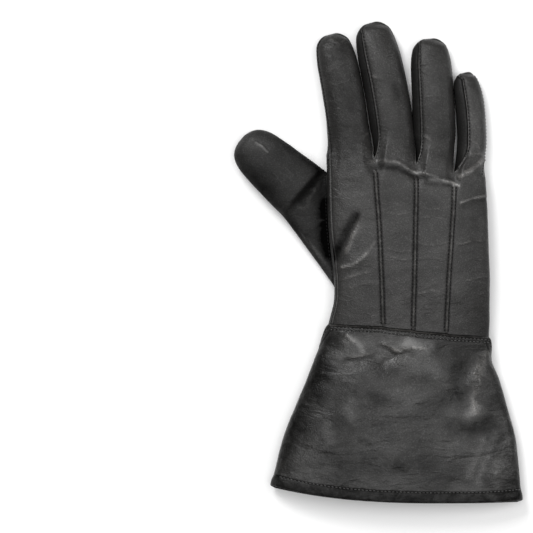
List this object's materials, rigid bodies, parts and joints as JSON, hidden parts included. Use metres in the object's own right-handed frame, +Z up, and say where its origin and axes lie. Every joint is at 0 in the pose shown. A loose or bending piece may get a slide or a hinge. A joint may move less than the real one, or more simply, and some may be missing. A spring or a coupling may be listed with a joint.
{
  "type": "gauntlet glove",
  "caption": "Right-hand leather gauntlet glove lying palm down, with tucked back, set-in thumb, quilted palm pad and a wide flared cuff.",
  "frame": {"origin": "middle of the bounding box's footprint, on the surface the glove lies on", "axes": "+Y towards the fingertips, +X towards the little finger's side, +Z up through the back of the hand"},
  "size_m": [0.1996, 0.334, 0.026],
  "materials": {
    "leather": "smooth, soft sheen",
    "gusset_leather": "smooth, matte",
    "thumb_leather": "matte, cracked where it bends",
    "cuff_leather": "smooth, semi-gloss"
  },
  "bodies": {
    "root": {"back_panel": "leather", "palm_panel": "leather", "fourchette_index_middle": "gusset_leather", "fourchette_middle_ring": "gusset_leather", "fourchette_ring_little": "gusset_leather", "thumb": "thumb_leather", "palm_pad": "leather", "gauntlet_cuff": "cuff_leather"}
  },
  "joints": []
}
